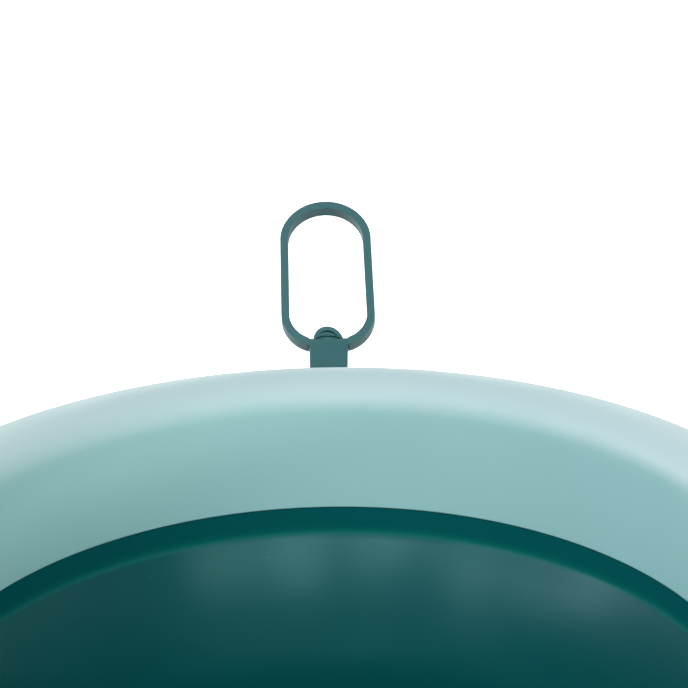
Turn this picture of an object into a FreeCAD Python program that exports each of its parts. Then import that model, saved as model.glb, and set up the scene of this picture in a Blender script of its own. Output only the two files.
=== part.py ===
"""Collapsible oval pet bathtub: hard rim shell, folding wall of nested bands, base tray with a drain,
and a hanging ring on a strap at the rear end. Millimetres, +Z up, +Y towards the hanging ring.
Origin: on the ground, at the centre of the oval."""

import FreeCAD, Part
import math
import os

import Sketcher
from FreeCAD import Vector

SIZES = {
    # oval that runs along the middle of the rim roll, and the overall height
    "rimHalfWidth": 205, "rimHalfLength": 270, "tubHeight": 205,
    # rim shell
    "rollRadius": 19, "shellWall": 2.6, "skirtDrop": 12, "shellDepth": 65, "wallLean": 5,
    "coverThick": 2.4, "coverLip": 5, "bossRadius": 4, "bossTopGap": 2,
    # soft collar that carries on from the shell
    "collarHeight": 12.5, "collarLap": 10, "collarThick": 3, "lapThick": 2, "edgeOverhang": 0.8,
    # nested bands of the folding wall
    "bandHeight": 21, "bandReach": 9, "bandThick": 2.6, "bandGap": 0.4,
    # lower wall and base
    "footThick": 3, "footLean": 3.5, "upstandTop": 34, "upstandWall": 2.6, "floorTop": 20,
    "floorThick": 3, "floorFillet": 8, "trayLap": 22,
    "frameWall": 3, "frameTop": 32, "frameBottom": 4, "flangeBottom": 8, "flangeThick": 3,
    "flangeWidth": 24, "treadHeight": 0.8, "treadWidth": 5, "treadPitch": 25,
    "screwInset": 13, "trayBossRadius": 5, "screwRadius": 2, "screwHeadRadius": 4,
    "screwHeadHeight": 2.2, "screwBite": 7, "holeClearance": 0.1,
    "padRadius": 13, "padStemRadius": 4, "padHeadRadius": 6, "padHeadHeight": 2,
    "centrePadRadius": 28,
    # drain
    "drainOffset": 130, "drainBore": 14, "drainShank": 18, "spigotRadius": 16.5, "drainFlange": 27,
    "drainFlangeThick": 2, "drainBottom": 3, "gasketThick": 2, "nutRadius": 25, "nutHeight": 6,
    "strainerBar": 2.4, "strainerDrop": 7, "plugClearance": 0.2, "plugDepth": 4, "plugLip": 17,
    "plugLipThick": 2.5, "lugHeight": 8, "lugThick": 3, "lugWidth": 9, "pullRing": 10, "pullWire": 1.3,
    "pullClearance": 0.5, "pullDroop": 9,
    # hanging strap and ring
    "pinGap": 8, "pinRise": 4, "pinRadius": 2, "pinClearance": 0.06, "knuckleRadius": 5,
    "earThick": 4.4, "earGap": 0.5, "plateThick": 5, "plateInner": 9, "plateHalfWidth": 22,
    "anchorScrewSpread": 15, "strapWidth": 19.5, "strapThick": 4, "strapLength": 34,
    "hangerLean": 45, "tongueHalfWidth": 7.6, "tongueRise": 1.5, "tongueFront": 2.4, "tongueBack": 3.4,
    "ringWidth": 44, "ringLength": 82.5, "ringBar": 3.7, "ringDepth": 7.6, "ringCorner": 17,
    "journalGap": 0.3, "journalRoot": 1,
}
BANDS = ["fold_band_upper", "fold_band_middle", "fold_band_lower"]
BASE_SCREW_ANGLES = [0, 40, 68, 112, 140, 180, 220, 248, 292, 320]
PAD_ANGLES = {"foot_pad_rear_right": 54, "foot_pad_rear_left": 126,
              "foot_pad_front_left": 234, "foot_pad_front_right": 306}


class Size:
    """A length with both its number and the expression that ties it to the spreadsheet."""

    def __init__(self, value, text=None):
        self.value = float(value)
        self.text = text if text else repr(float(value))

    def _with(self, other, sign, value):
        return Size(value, f"({self.text} {sign} {asSize(other).text})")

    def __add__(self, other):
        return self._with(other, "+", self.value + asSize(other).value)

    def __sub__(self, other):
        return self._with(other, "-", self.value - asSize(other).value)

    def __mul__(self, other):
        return self._with(other, "*", self.value * asSize(other).value)

    def __truediv__(self, other):
        return self._with(other, "/", self.value / asSize(other).value)

    def __neg__(self):
        return Size(-self.value, f"(-{self.text})")

    __radd__ = __add__
    __rmul__ = __mul__


def asSize(number):
    return number if isinstance(number, Size) else Size(number)


def root(size):
    return Size(math.sqrt(size.value), f"sqrt({size.text})")


def slant(length, degrees):
    """The two legs of a length at this angle: along its own direction at zero, then across it."""
    angle = math.radians(degrees.value)
    along = Size(math.cos(angle), f"cos({degrees.text} * 1 deg)")
    across = Size(math.sin(angle), f"sin({degrees.text} * 1 deg)")
    return length * along, length * across


doc = FreeCAD.newDocument("pet_bathtub")
sheet = doc.addObject("Spreadsheet::Sheet", "sizes")
for row, (alias, number) in enumerate(SIZES.items(), 1):
    sheet.set(f"A{row}", alias)
    sheet.set(f"B{row}", str(number))
    sheet.setAlias(f"B{row}", alias)
doc.recompute()
s = {alias: Size(sheet.get(alias), f"sizes.{alias}") for alias in SIZES}
pieces = []


def originPlane(body, role):
    return next(plane for plane in body.Origin.OriginFeatures if plane.Role == role)


def newBody(name):
    body = doc.addObject("PartDesign::Body", name)
    body.Label = name
    body.AllowCompound = True
    return body


def newSketch(body, role, shift=0):
    """A sketch on an origin plane of its own body, moved along the plane's normal by shift."""
    sketch = body.newObject("Sketcher::SketchObject", "sketch")
    sketch.AttachmentSupport = [(originPlane(body, role), "")]
    sketch.MapMode = "FlatFace"
    if asSize(shift).value:
        sketch.AttachmentOffset = FreeCAD.Placement(Vector(0, 0, asSize(shift).value), FreeCAD.Rotation())
        sketch.setExpression("AttachmentOffset.Base.z", asSize(shift).text)
    return sketch


def tie(sketch, kind, *where):
    """Adds a constraint whose last argument is a Size, and binds it to the spreadsheet."""
    *where, size = where
    number = sketch.addConstraint(Sketcher.Constraint(kind, *where, size.value))
    sketch.setExpression(f"Constraints[{number}]", size.text)


def tiePoint(sketch, piece, end, x, y, axes="XY"):
    """Places one point of a sketch. A zero coordinate is put on the axis, because it has no distance."""
    for axis, size, line in (("X", asSize(x), -2), ("Y", asSize(y), -1)):
        if axis not in axes:
            continue
        if abs(size.value) < 1e-9:
            sketch.addConstraint(Sketcher.Constraint("PointOnObject", piece, end, line))
        else:
            tie(sketch, f"Distance{axis}", -1, 1, piece, end, size)


def drawLoop(sketch, points):
    """A closed outline. A point is (x, y) for a straight side to it, or (x, y, (cx, cy), turn) for an
    arc to it about that centre, turn 1 anticlockwise and -1 clockwise."""
    spots = [(asSize(p[0]), asSize(p[1])) for p in points]
    vectors = [Vector(x.value, y.value, 0) for x, y in spots]
    first = sketch.GeometryCount
    ends = []
    for number, point in enumerate(points):
        a, b = vectors[number - 1], vectors[number]
        if len(point) == 2:
            sketch.addGeometry(Part.LineSegment(a, b))
            ends.append((1, 2))
            continue
        (cx, cy), turn = point[2], point[3]
        centre = Vector(asSize(cx).value, asSize(cy).value, 0)
        circle = Part.Circle(centre, Vector(0, 0, 1), (b - centre).Length)
        start, stop = (a, b) if turn > 0 else (b, a)
        angles = [math.atan2((p - centre).y, (p - centre).x) for p in (start, stop)]
        sketch.addGeometry(Part.ArcOfCircle(circle, *angles))
        ends.append((1, 2) if turn > 0 else (2, 1))
    count = len(points)
    for number in range(count):
        after = (number + 1) % count
        here = (first + number, ends[number][1])
        sketch.addConstraint(Sketcher.Constraint("Coincident", *here, first + after, ends[after][0]))
        axes = "XY"
        if len(points[number]) == 4:
            cx, cy = points[number][2]
            tiePoint(sketch, first + number, 3, cx, cy)
            arm = vectors[number] - Vector(asSize(cx).value, asSize(cy).value, 0)
            axes = "X" if abs(arm.y) > abs(arm.x) else "Y"
        tiePoint(sketch, *here, *spots[number], axes)


def drawCircles(sketch, centres, radius):
    for x, y in centres:
        spot = Vector(asSize(x).value, asSize(y).value, 0)
        piece = sketch.addGeometry(Part.Circle(spot, Vector(0, 0, 1), radius.value))
        tiePoint(sketch, piece, 3, x, y)
        tie(sketch, "Radius", piece, radius)


def drawOval(sketch, halfWidth, halfLength):
    oval = Part.Ellipse(Vector(0, halfLength.value, 0), Vector(halfWidth.value, 0, 0), Vector())
    piece = sketch.addGeometry(oval)
    sketch.exposeInternalGeometry(piece)
    sketch.addConstraint(Sketcher.Constraint("Coincident", piece, 3, -1, 1))
    sketch.addConstraint(Sketcher.Constraint("Vertical", piece + 1))
    tie(sketch, "Distance", piece + 1, 1, piece + 1, 2, halfLength * 2)
    tie(sketch, "Distance", piece + 2, 1, piece + 2, 2, halfWidth * 2)


def ovalSweep(body, points):
    """Sweeps an outline along the rim oval. Its x is the distance out from the oval, its y the height."""
    spine = newSketch(body, "XY_Plane")
    drawOval(spine, s["rimHalfWidth"], s["rimHalfLength"])
    outline = newSketch(body, "YZ_Plane")
    shifted = []
    for point in points:
        moved = (s["rimHalfLength"] + point[0], point[1])
        if len(point) == 4:
            moved += ((s["rimHalfLength"] + point[2][0], point[2][1]), point[3])
        shifted.append(moved)
    drawLoop(outline, shifted)
    pipe = body.newObject("PartDesign::AdditivePipe", "sweep")
    pipe.Profile = outline
    pipe.Spine = (spine, ["Edge1"])
    pipe.Mode = "Frenet"
    return pipe


def pad(body, sketch, length, middle=False, cut=False, up=True):
    """Pads a sketch along its plane's normal, or both ways from the plane, or cuts a pocket that way."""
    feature = body.newObject("PartDesign::Pocket" if cut else "PartDesign::Pad", "pocket" if cut else "pad")
    feature.Profile = sketch
    feature.setExpression("Length", asSize(length).text)
    feature.Midplane = middle
    feature.Reversed = up if cut else not up
    return feature


def revolve(body, points, role="YZ_Plane"):
    """Turns an outline, given as distance from the axis and height, about the body's vertical axis."""
    sketch = newSketch(body, role)
    drawLoop(sketch, points)
    turned = body.newObject("PartDesign::Revolution", "turned")
    turned.Profile = sketch
    turned.ReferenceAxis = (sketch, ["V_Axis"])
    turned.Angle = 360
    return turned


def finish(body, place=None, tilt=0):
    """Moves a finished body to its place, tied to the spreadsheet, and puts it on the list to write."""
    x, y, z = [asSize(v) for v in (place or (0, 0, 0))]
    body.Placement = FreeCAD.Placement(
        Vector(x.value, y.value, z.value), FreeCAD.Rotation(Vector(1, 0, 0), asSize(tilt).value))
    for axis, size in zip("xyz", (x, y, z)):
        if place and size.text != "0.0":
            body.setExpression(f"Placement.Base.{axis}", size.text)
    if asSize(tilt).value:
        body.setExpression("Placement.Rotation.Angle", f"{asSize(tilt).text} * 1 deg")
    pieces.append(body)


def onOval(degrees, outwards):
    """The point of the rim oval at this angle, moved outwards along the oval's normal."""
    c, d = math.cos(math.radians(degrees)), math.sin(math.radians(degrees))
    a, b = s["rimHalfWidth"], s["rimHalfLength"]
    slope = root(b * b * (c * c) + a * a * (d * d))
    return a * c + outwards * b * c / slope, b * d + outwards * a * d / slope


# heights and distances that several pieces share; distances run outwards from the rim oval
rollCentre = s["tubHeight"] - s["rollRadius"]
innerRoll = s["rollRadius"] - s["shellWall"]
skirtBottom = rollCentre - s["skirtDrop"]
shellBottom = s["tubHeight"] - s["shellDepth"]
leanRun, leanRise = slant(asSize(1), s["wallLean"])
lean = leanRise / leanRun
wallFoot = -(s["rollRadius"] + (rollCentre - shellBottom) * lean)
wallFootOuter = wallFoot + s["shellWall"]
ridge = shellBottom - s["collarHeight"]
collarInner = wallFoot + s["edgeOverhang"]
bandTop = wallFoot - s["bandGap"]
bandStep = s["bandReach"] + s["bandGap"]
foldBottom = ridge - s["bandHeight"] * len(BANDS)
footOuter = bandTop - bandStep * len(BANDS)
trayOuter = footOuter - s["footThick"] - s["footLean"]
frameInner = trayOuter + s["footThick"]
floorBottom = s["floorTop"] - s["floorThick"]
flangeTop = s["flangeBottom"] + s["flangeThick"]
screwLine = trayOuter - s["screwInset"]
screwSpots = [onOval(angle, screwLine) for angle in BASE_SCREW_ANGLES]
screwHole = s["screwRadius"] + s["holeClearance"]
pinOut = s["rollRadius"] + s["pinGap"]
pinHeight = skirtBottom + s["pinRise"]
anchorSpots = [(sign * s["anchorScrewSpread"], s["rimHalfLength"]) for sign in (1, -1)]


def wallOuterAt(height):
    """How far out the shell's inner wall has its outer face at this height."""
    return wallFootOuter + (height - shellBottom) * lean


def makeRimShell():
    """Rolled rim, outer skirt and inner wall in one moulding, with two screw bosses inside the roll."""
    body = newBody("rim_shell")
    centre = (0, rollCentre)
    outer, inner = s["rollRadius"], innerRoll
    ovalSweep(body, [
        (outer, skirtBottom),
        (outer, rollCentre),
        (-(outer * leanRun), rollCentre + outer * leanRise, centre, 1),
        (wallFoot, shellBottom),
        (wallFootOuter, shellBottom),
        (-(inner * leanRun), rollCentre + inner * leanRise),
        (inner, rollCentre, centre, -1),
        (inner, skirtBottom),
    ])
    bottom = skirtBottom + s["coverThick"]
    sketch = newSketch(body, "XY_Plane", bottom)
    drawCircles(sketch, anchorSpots, s["bossRadius"])
    pad(body, sketch, s["tubHeight"] - s["bossTopGap"] - bottom)
    holes = newSketch(body, "XY_Plane", bottom)
    drawCircles(holes, anchorSpots, screwHole)
    pad(body, holes, s["screwBite"], cut=True)
    finish(body)


def makeRimCover():
    """Ring that snaps into the underside of the roll and closes it, with a raised lip on each side."""
    body = newBody("rim_cover_ring")
    top = skirtBottom + s["coverThick"]
    lipTop = top + s["coverLip"]
    wall = s["coverThick"]
    outer = innerRoll
    ovalSweep(body, [
        (outer, skirtBottom),
        (outer, lipTop),
        (outer - wall, lipTop),
        (outer - wall, top),
        (wallOuterAt(top) + wall, top),
        (wallOuterAt(lipTop) + wall, lipTop),
        (wallOuterAt(lipTop), lipTop),
        (wallOuterAt(skirtBottom), skirtBottom),
    ])
    holes = newSketch(body, "XY_Plane", skirtBottom)
    drawCircles(holes, anchorSpots, screwHole)
    pad(body, holes, wall, cut=True)
    finish(body)


def makeCollar():
    """Soft collar moulded round the shell's lower edge, set back below it and flush again at its ridge."""
    body = newBody("wall_collar")
    lapTop = shellBottom + s["collarLap"]
    ovalSweep(body, [
        (wallFoot, ridge),
        (collarInner, shellBottom),
        (wallFootOuter, shellBottom),
        (wallOuterAt(lapTop), lapTop),
        (wallOuterAt(lapTop) + s["lapThick"], lapTop),
        (wallFootOuter + s["lapThick"], shellBottom),
        (wallFoot + s["collarThick"], ridge),
    ])
    finish(body)


def makeFoldBands():
    """Nested bands of the folding wall, each inside the one above with a gap, like a telescope."""
    for number, name in enumerate(BANDS):
        body = newBody(name)
        outer = bandTop - bandStep * number
        top = ridge - s["bandHeight"] * number
        bottom = top - s["bandHeight"]
        ovalSweep(body, [
            (outer, top),
            (outer - s["bandThick"], top),
            (outer - s["bandReach"], bottom),
            (outer - s["bandReach"] + s["bandThick"], bottom),
        ])
        finish(body)


def makeLowerWall():
    """Soft lower wall, from the last fold down to the base frame, round the tray's upstand."""
    body = newBody("wall_lower")
    top = foldBottom
    ovalSweep(body, [
        (footOuter, top),
        (footOuter - s["footThick"], top),
        (trayOuter, s["upstandTop"]),
        (trayOuter, flangeTop),
        (frameInner, flangeTop),
        (frameInner, s["frameTop"]),
    ])
    finish(body)


def makeBaseTray():
    """Floor of the tub with its upstand, moulded ribs to stand on, screw bosses and the drain hole."""
    body = newBody("base_tray")
    inner = trayOuter - s["upstandWall"]
    curveEnd = inner - s["floorFillet"]
    curveTop = s["floorTop"] + s["floorFillet"]
    lap = inner - s["trayLap"]
    ovalSweep(body, [
        (trayOuter, floorBottom),
        (trayOuter, s["upstandTop"]),
        (inner, s["upstandTop"]),
        (inner, curveTop),
        (curveEnd, s["floorTop"], (curveEnd, curveTop), -1),
        (lap, s["floorTop"]),
        (lap, floorBottom),
    ])
    reach = lap + s["trayLap"] / 4
    floor = newSketch(body, "XY_Plane", floorBottom)
    drawOval(floor, s["rimHalfWidth"] + reach, s["rimHalfLength"] + reach)
    pad(body, floor, s["floorThick"])
    bosses = newSketch(body, "XY_Plane", flangeTop)
    drawCircles(bosses, screwSpots, s["trayBossRadius"])
    pad(body, bosses, floorBottom - flangeTop)
    treads(body)
    hole = newSketch(body, "XY_Plane", floorBottom)
    drawCircles(hole, [(0, -s["drainOffset"])], s["drainShank"] + s["holeClearance"])
    pad(body, hole, s["floorThick"] + s["treadHeight"], cut=True)
    bites = newSketch(body, "XY_Plane", flangeTop)
    drawCircles(bites, screwSpots, screwHole)
    pad(body, bites, s["screwBite"], cut=True)
    finish(body)


def treads(body):
    """Low straight ribs across the floor, which keep paws from slipping. They stop short of the drain."""
    sketch = newSketch(body, "XY_Plane", s["floorTop"])
    half = s["treadWidth"] / 2
    lengths = {-2: 0.5, -1: 0.58, 0: 0.62, 1: 0.62, 2: 0.6, 3: 0.55, 4: 0.45, 5: 0.3}
    for step, share in lengths.items():
        y = s["treadPitch"] * step
        x = (s["rimHalfWidth"] + trayOuter) * share
        drawLoop(sketch, [(x, y - half), (x, y + half, (x, y), 1), (-x, y + half),
                          (-x, y - half, (-x, y), 1)])
    pad(body, sketch, s["treadHeight"])


def makeBaseFrame():
    """Hard ring that clamps the soft wall to the tray from below and carries the feet."""
    body = newBody("base_frame")
    outer = frameInner + s["frameWall"]
    flangeEnd = trayOuter - s["flangeWidth"]
    ovalSweep(body, [
        (outer, s["frameBottom"]),
        (outer, s["frameTop"]),
        (frameInner, s["frameTop"]),
        (frameInner, flangeTop),
        (flangeEnd, flangeTop),
        (flangeEnd, s["flangeBottom"]),
        (frameInner, s["flangeBottom"]),
        (frameInner, s["frameBottom"]),
    ])
    padSpots = [onOval(angle, screwLine) for angle in PAD_ANGLES.values()]
    for spots, radius in ((screwSpots, screwHole), (padSpots, s["padStemRadius"] + s["holeClearance"])):
        holes = newSketch(body, "XY_Plane", s["flangeBottom"])
        drawCircles(holes, spots, radius)
        pad(body, holes, s["flangeThick"], cut=True)
    finish(body)


def makeScrews(name, spots, headTop, shankLength):
    """A group of pan-head screws driven upwards: heads below headTop, shanks above it."""
    body = newBody(name)
    heads = newSketch(body, "XY_Plane", headTop)
    drawCircles(heads, spots, s["screwHeadRadius"])
    pad(body, heads, s["screwHeadHeight"], up=False)
    shanks = newSketch(body, "XY_Plane", headTop)
    drawCircles(shanks, spots, s["screwRadius"])
    pad(body, shanks, shankLength)
    finish(body)


def makeFootPads():
    """Rubber feet: four pushed through the base frame's flange, and one under the middle of the floor."""
    for name, angle in PAD_ANGLES.items():
        body = newBody(name)
        headTop = flangeTop + s["padHeadHeight"]
        revolve(body, [
            (0, 0), (s["padRadius"] - 1.5, 0), (s["padRadius"], 1.5), (s["padRadius"] - 1, s["flangeBottom"]),
            (s["padStemRadius"], s["flangeBottom"]), (s["padStemRadius"], flangeTop),
            (s["padHeadRadius"], flangeTop), (s["padStemRadius"], headTop), (0, headTop),
        ])
        finish(body, (*onOval(angle, screwLine), 0))
    body = newBody("foot_pad_centre")
    wide = s["centrePadRadius"]
    revolve(body, [(0, 0), (wide - 2, 0), (wide, 2), (wide - 3, floorBottom), (0, floorBottom)])
    finish(body)


def makeDrain():
    """Drain fitting through the floor, with its gasket, lock nut, plug and pull ring."""
    place = (0, -s["drainOffset"], 0)
    body = newBody("drain_fitting")
    flangeTopHeight = s["floorTop"] + s["drainFlangeThick"]
    low = floorBottom - s["gasketThick"]
    revolve(body, [
        (s["drainBore"], s["drainBottom"]), (s["spigotRadius"], s["drainBottom"]),
        (s["spigotRadius"], low - s["nutHeight"]), (s["drainShank"], low - s["nutHeight"]),
        (s["drainShank"], s["floorTop"]), (s["drainFlange"], s["floorTop"]),
        (s["drainFlange"] - 1.5, flangeTopHeight), (s["drainBore"], flangeTopHeight),
    ])
    bars = newSketch(body, "XY_Plane", s["floorTop"] - s["strainerDrop"])
    half, reach = s["strainerBar"] / 2, s["drainBore"] + 1
    drawLoop(bars, [
        (reach, -half), (reach, half), (half, half), (half, reach), (-half, reach), (-half, half),
        (-reach, half), (-reach, -half), (-half, -half), (-half, -reach), (half, -reach), (half, -half),
    ])
    pad(body, bars, s["strainerBar"])
    finish(body, place)

    body = newBody("drain_gasket")
    hole = s["drainShank"] + s["holeClearance"]
    revolve(body, [(hole, low), (s["nutRadius"], low), (s["nutRadius"], floorBottom), (hole, floorBottom)])
    finish(body, place)

    body = newBody("drain_nut")
    sketch = newSketch(body, "XY_Plane", low - s["nutHeight"])
    flats = 8
    corners = [(s["nutRadius"] * math.cos(math.pi * (2 * n + 1) / flats),
                s["nutRadius"] * math.sin(math.pi * (2 * n + 1) / flats)) for n in range(flats)]
    drawLoop(sketch, corners)
    drawCircles(sketch, [(0, 0)], hole)
    pad(body, sketch, s["nutHeight"])
    finish(body, place)

    body = newBody("drain_plug")
    seat = flangeTopHeight
    stem = s["drainBore"] - s["plugClearance"]
    bottom = seat - s["plugDepth"]
    top = seat + s["plugLipThick"]
    revolve(body, [(0, bottom), (stem - 1, bottom), (stem, bottom + 1.5), (stem, seat),
                   (s["plugLip"], seat), (s["plugLip"] - 1, top), (0, top)])
    sketch = newSketch(body, "YZ_Plane")
    wide, eye = s["lugWidth"] / 2, top + s["lugHeight"] / 2
    drawLoop(sketch, [(wide, top), (wide, eye), (-wide, eye, (0, eye), 1), (-wide, top)])
    pad(body, sketch, s["lugThick"], middle=True)
    hole = newSketch(body, "YZ_Plane")
    drawCircles(hole, [(0, eye)], s["pullWire"] + s["pullClearance"])
    pad(body, hole, s["lugThick"] * 2, middle=True, cut=True)
    finish(body, place)

    body = newBody("plug_pull_ring")
    sketch = newSketch(body, "XZ_Plane")
    drawCircles(sketch, [(s["pullRing"], 0)], s["pullWire"])
    turned = body.newObject("PartDesign::Revolution", "turned")
    turned.Profile = sketch
    turned.ReferenceAxis = (sketch, ["V_Axis"])
    turned.Angle = 360
    across, drop = slant(s["pullRing"], s["pullDroop"])
    finish(body, (0, across - s["drainOffset"], eye - drop), -s["pullDroop"])


def makeHangerAnchor():
    """Bracket screwed under the roll at the rear end, with two ears that hold the strap pin."""
    body = newBody("hanger_anchor")
    edge = s["rimHalfLength"]
    top, bottom = skirtBottom, skirtBottom - s["plateThick"]
    out, height, radius = edge + pinOut, pinHeight, s["knuckleRadius"]
    plate = newSketch(body, "XY_Plane", bottom)
    reach = out - radius
    wide = s["plateHalfWidth"]
    drawLoop(plate, [(wide, edge - s["plateInner"]), (wide, reach), (-wide, reach),
                     (-wide, edge - s["plateInner"])])
    pad(body, plate, s["plateThick"])
    inner = s["strapWidth"] / 2 + s["earGap"]
    for side in (inner, -inner - s["earThick"]):
        ear = newSketch(body, "YZ_Plane", side)
        drawLoop(ear, [(reach - radius, bottom), (out, bottom), (out + radius, height),
                       (out - radius, height, (out, height), 1), (out - radius, top),
                       (reach - radius, top)])
        pad(body, ear, s["earThick"])
    hole = newSketch(body, "YZ_Plane")
    drawCircles(hole, [(out, height)], s["pinRadius"])
    pad(body, hole, wide * 4, middle=True, cut=True)
    screws = newSketch(body, "XY_Plane", bottom)
    drawCircles(screws, anchorSpots, screwHole)
    pad(body, screws, s["plateThick"], cut=True)
    finish(body)

    shank = s["plateThick"] + s["coverThick"] + s["screwBite"]
    makeScrews("anchor_screws", anchorSpots, bottom, shank)

    body = newBody("strap_pin")
    sketch = newSketch(body, "YZ_Plane")
    drawCircles(sketch, [(out, height)], s["pinRadius"])
    pad(body, sketch, (inner + s["earThick"]) * 2, middle=True)
    finish(body)


def hangerPlace(along):
    """Where a point of the leaning hanger is, this far along the strap from its pin."""
    rise, out = slant(asSize(along), s["hangerLean"])
    return (0, s["rimHalfLength"] + pinOut + out, pinHeight + rise)


def makeHangStrap():
    """Strap with a knuckle on the pin and an eye on the ring's lower bar, closed by a round tongue.
    Its own +Z runs along it, and its front face is flush with the ring's."""
    body = newBody("hang_strap")
    length, front, reach = s["strapLength"], -s["ringDepth"] / 2, s["ringBar"] / 2
    side = newSketch(body, "YZ_Plane")
    back = front + s["strapThick"]
    drawLoop(side, [(back, 0), (back, length + reach), (front, length + reach), (front, 0)])
    pad(body, side, s["strapWidth"], middle=True)
    for centre, radius in ((0, s["knuckleRadius"]), (length, -front)):
        barrel = newSketch(body, "YZ_Plane")
        drawCircles(barrel, [(0, centre)], radius)
        pad(body, barrel, s["strapWidth"], middle=True)
    tongue = newSketch(body, "XZ_Plane", -s["tongueBack"])
    wide, top = s["tongueHalfWidth"], length + s["tongueRise"]
    drawLoop(tongue, [(wide, length), (wide, top), (-wide, top, (0, top), 1), (-wide, length)])
    pad(body, tongue, s["tongueBack"] + s["tongueFront"])
    for centre, radius in ((0, s["pinRadius"]), (length, reach)):
        bore = newSketch(body, "YZ_Plane")
        drawCircles(bore, [(0, centre)], radius + s["pinClearance"])
        pad(body, bore, s["strapWidth"] * 2, middle=True, cut=True)
    finish(body, hangerPlace(0), -s["hangerLean"])


def makeHangRing():
    """Long hanging ring, round at the top. Its lower bar narrows to a round journal in the strap's eye."""
    body = newBody("hang_ring")
    half, bar = s["ringWidth"] / 2, s["ringBar"] / 2
    corner = s["ringCorner"]
    top = s["ringLength"] - half
    for grow in (bar, -bar):
        sketch = newSketch(body, "XZ_Plane")
        flat = half - corner
        side = half + grow
        drawLoop(sketch, [
            (flat, -grow), (side, corner, (flat, corner), 1), (side, top),
            (-side, top, (0, top), 1), (-side, corner), (-flat, -grow, (-flat, corner), 1),
        ])
        pad(body, sketch, s["ringDepth"], middle=True, cut=grow is not bar)
    neck = s["strapWidth"] / 2 + s["journalGap"]
    gap = newSketch(body, "XZ_Plane")
    drawLoop(gap, [(neck, -s["ringDepth"]), (neck, s["ringDepth"]), (-neck, s["ringDepth"]),
                   (-neck, -s["ringDepth"])])
    pad(body, gap, s["ringDepth"] * 2, middle=True, cut=True)
    journal = newSketch(body, "YZ_Plane")
    drawCircles(journal, [(0, 0)], bar)
    pad(body, journal, (neck + s["journalRoot"]) * 2, middle=True)
    finish(body, hangerPlace(s["strapLength"]), -s["hangerLean"])


def checkAndWrite():
    """Stops on a failed object or a bad shape, then writes each piece to its own STEP file."""
    doc.recompute()
    for item in doc.Objects:
        if "Invalid" in item.State or "Error" in item.State:
            raise SystemExit(f"{item.Name} failed: {item.State}")
    os.makedirs("parts", exist_ok=True)
    for piece in pieces:
        shape = piece.Shape
        if shape.isNull() or not shape.isValid() or not shape.Solids:
            raise SystemExit(f"{piece.Label} has no valid shape")
        shape.exportStep(f"parts/{piece.Label}.step")
        print(f"{piece.Label}: {len(shape.Solids)} solid(s), {shape.Volume / 1000:.1f} cm3")


makeRimShell()
makeRimCover()
makeCollar()
makeFoldBands()
makeLowerWall()
makeBaseTray()
makeBaseFrame()
makeScrews("base_screws", screwSpots, s["flangeBottom"], s["flangeThick"] + s["screwBite"])
makeFootPads()
makeDrain()
makeHangerAnchor()
makeHangStrap()
makeHangRing()
checkAndWrite()
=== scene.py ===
import math
import bmesh
import bpy
import numpy as np
from mathutils import Matrix, Vector


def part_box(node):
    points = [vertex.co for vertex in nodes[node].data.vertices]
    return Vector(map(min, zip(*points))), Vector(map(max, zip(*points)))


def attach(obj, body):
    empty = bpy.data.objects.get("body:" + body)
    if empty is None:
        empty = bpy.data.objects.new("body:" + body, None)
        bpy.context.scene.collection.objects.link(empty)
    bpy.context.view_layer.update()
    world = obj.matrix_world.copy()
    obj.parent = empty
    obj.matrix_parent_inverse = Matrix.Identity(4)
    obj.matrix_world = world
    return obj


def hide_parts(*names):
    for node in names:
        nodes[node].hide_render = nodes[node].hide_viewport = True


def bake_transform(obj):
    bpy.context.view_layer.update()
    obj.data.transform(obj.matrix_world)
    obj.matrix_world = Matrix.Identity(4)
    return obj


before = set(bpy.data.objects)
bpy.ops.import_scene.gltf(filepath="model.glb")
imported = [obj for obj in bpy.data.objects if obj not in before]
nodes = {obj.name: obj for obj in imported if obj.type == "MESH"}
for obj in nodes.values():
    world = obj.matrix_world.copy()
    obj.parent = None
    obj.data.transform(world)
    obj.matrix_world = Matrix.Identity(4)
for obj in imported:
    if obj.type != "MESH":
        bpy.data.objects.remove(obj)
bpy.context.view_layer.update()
print("frame loaded")

# The oval that runs along the middle of the rolled rim. "Out" is the distance outwards from it.
tub = {"rollRadius": 0.019, "ovalSteps": 288, "wallLean": 5}
rimLow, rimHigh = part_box("rim_shell")
ovalHalfWidth = round(rimHigh.x - tub["rollRadius"], 4)
ovalHalfLength = round(rimHigh.y - tub["rollRadius"], 4)
rollCentre = rimHigh.z - tub["rollRadius"]
leanSlope = math.tan(math.radians(tub["wallLean"]))


def outerEdge(node):
    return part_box(node)[1].x - ovalHalfWidth


# node trees

def addNode(tree, kind, inputs=None, **settings):
    node = tree.nodes.new(kind)
    for name, value in settings.items():
        setattr(node, name, value)
    for key, value in (inputs or {}).items():
        if isinstance(value, bpy.types.NodeSocket):
            tree.links.new(value, node.inputs[key])
        else:
            node.inputs[key].default_value = value
    return node


def newGeometryTree(name, sockets):
    tree = bpy.data.node_groups.new(name, "GeometryNodeTree")
    tree.interface.new_socket("Geometry", in_out="OUTPUT", socket_type="NodeSocketGeometry")
    for label, kind in sockets.items():
        tree.interface.new_socket(label, in_out="INPUT", socket_type="NodeSocket" + kind)
    return tree, addNode(tree, "NodeGroupInput").outputs


def closeGeometryTree(tree, geometry, material):
    solid = addNode(tree, "GeometryNodeRealizeInstances", {"Geometry": geometry})
    painted = addNode(tree, "GeometryNodeSetMaterial", {"Geometry": solid.outputs[0], "Material": material})
    addNode(tree, "NodeGroupOutput", {0: painted.outputs[0]})


def addObject(name, data):
    made = bpy.data.objects.new(name, data)
    bpy.context.scene.collection.objects.link(made)
    return made


def applyModifiers(piece):
    # the evaluated shape becomes the piece's own plain mesh
    made = piece.evaluated_get(bpy.context.evaluated_depsgraph_get())
    mesh = bpy.data.meshes.new_from_object(made)
    piece.modifiers.clear()
    piece.data = mesh
    return mesh


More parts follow.
